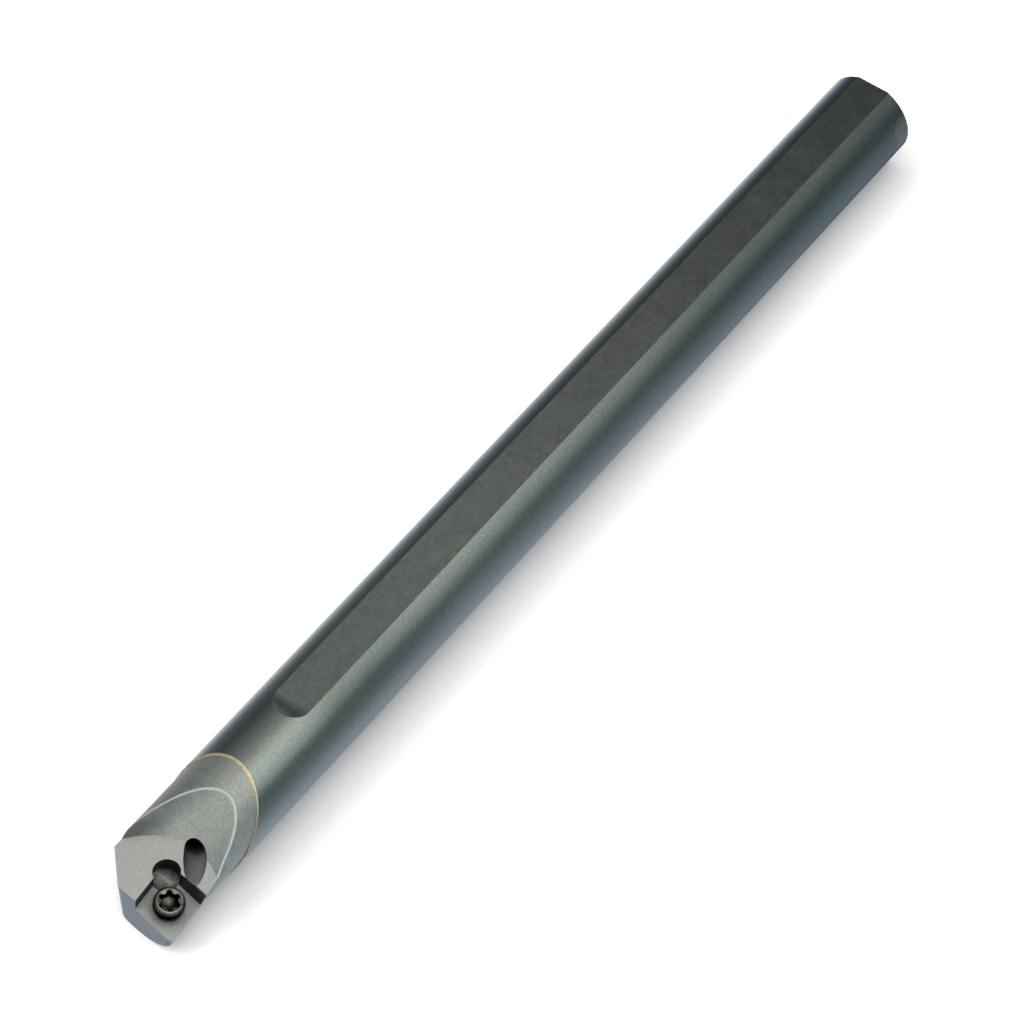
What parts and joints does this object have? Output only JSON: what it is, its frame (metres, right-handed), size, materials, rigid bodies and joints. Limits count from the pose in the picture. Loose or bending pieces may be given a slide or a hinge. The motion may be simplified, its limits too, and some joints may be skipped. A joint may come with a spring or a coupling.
{
  "type": "boring bar",
  "caption": "Slim internal turning tool: long round shank with a clamping flat, brazed to a scooped head that has an empty tilted insert seat, a clamping screw and a coolant outlet.",
  "frame": {"origin": "centre of the shank's rear face, on the bar's axis and at the mouth of the coolant bore", "axes": "+X along the bar, forward to the head; +Z out of the clamping flat; +Y towards the side that cuts"},
  "size_m": [0.1482, 0.0125, 0.0122],
  "materials": {
    "shank": "ground cemented carbide, dark grey, satin",
    "braze": "brazing metal, pale gold",
    "head": "fine blasted steel, light grey, satin",
    "screw": "blackened steel"
  },
  "bodies": {
    "bar": {"shank": "shank", "braze": "braze", "head": "head"},
    "screw": {"clamp_screw": "screw"}
  },
  "joints": [
    {"name": "screw_out", "type": "slide", "parent": "bar", "child": "screw", "axis": [0, 0.2008, 0.9796], "range_m": [0, 0.0045]}
  ]
}
